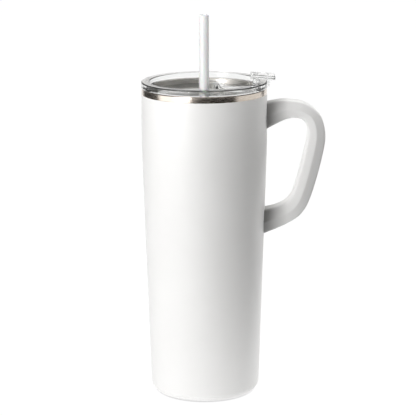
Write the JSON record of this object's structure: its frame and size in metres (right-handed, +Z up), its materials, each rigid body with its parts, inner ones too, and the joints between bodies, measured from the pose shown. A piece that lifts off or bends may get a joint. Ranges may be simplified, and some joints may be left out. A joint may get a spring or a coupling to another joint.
{
  "type": "insulated tumbler with lid",
  "caption": "Tall tapered double-wall vacuum tumbler with a side handle, clear press-in lid with a flip tab over the drinking hole, and a straight straw.",
  "frame": {"origin": "centre of the foot ring, on the surface that the tumbler stands on", "axes": "+Z up along the tumbler's axis, +X towards the handle"},
  "size_m": [0.1407, 0.0962, 0.295],
  "materials": {
    "shell_coat": "satin white powder coat with a fine texture",
    "bare_steel": "bare warm-toned stainless steel, fine circumferential brushing",
    "bracket_steel": "plain stainless steel",
    "seal_glass": "fused sealing pellet",
    "getter_metal": "matt sintered metal",
    "copper_foil": "bright copper foil",
    "handle_plastic": "satin white moulding",
    "straw_plastic": "smooth white plastic tube",
    "clear_plastic": "clear polished plastic",
    "clear_silicone": "milky silicone"
  },
  "bodies": {
    "tumbler": {"outer_shell": "shell_coat", "inner_liner": "bare_steel", "base_cap": "bare_steel", "vacuum_seal": "seal_glass", "getter": "getter_metal", "heat_shield_foil": "copper_foil", "upper_bracket": "bracket_steel", "lower_bracket": "bracket_steel", "handle": "handle_plastic", "handle_screws": "bracket_steel", "screw_plugs": "handle_plastic"},
    "gasket": {"lid_gasket": "clear_silicone"},
    "lid": {"lid_top": "clear_plastic", "straw_grommet": "clear_silicone", "hinge_pin": "bracket_steel"},
    "flip": {"flip_tab": "clear_plastic", "spout_seal": "clear_silicone"},
    "straw": {"straw": "straw_plastic"}
  },
  "joints": [
    {"name": "lid_lift", "type": "slide", "parent": "tumbler", "child": "gasket", "axis": [0, 0, 1], "range_m": [0, 0.235]},
    {"name": "lid_turn", "type": "hinge", "parent": "gasket", "child": "lid", "pos_m": [0, 0, 0.232], "axis": [0, 0, 1], "continuous": true},
    {"name": "flip_open", "type": "hinge", "parent": "lid", "child": "flip", "pos_m": [0.0095, 0, 0.2404], "axis": [0, -1, 0], "range_deg": [0, 75]},
    {"name": "straw_lift", "type": "slide", "parent": "lid", "child": "straw", "axis": [0, 0, 1], "range_m": [0, 0.23]}
  ]
}
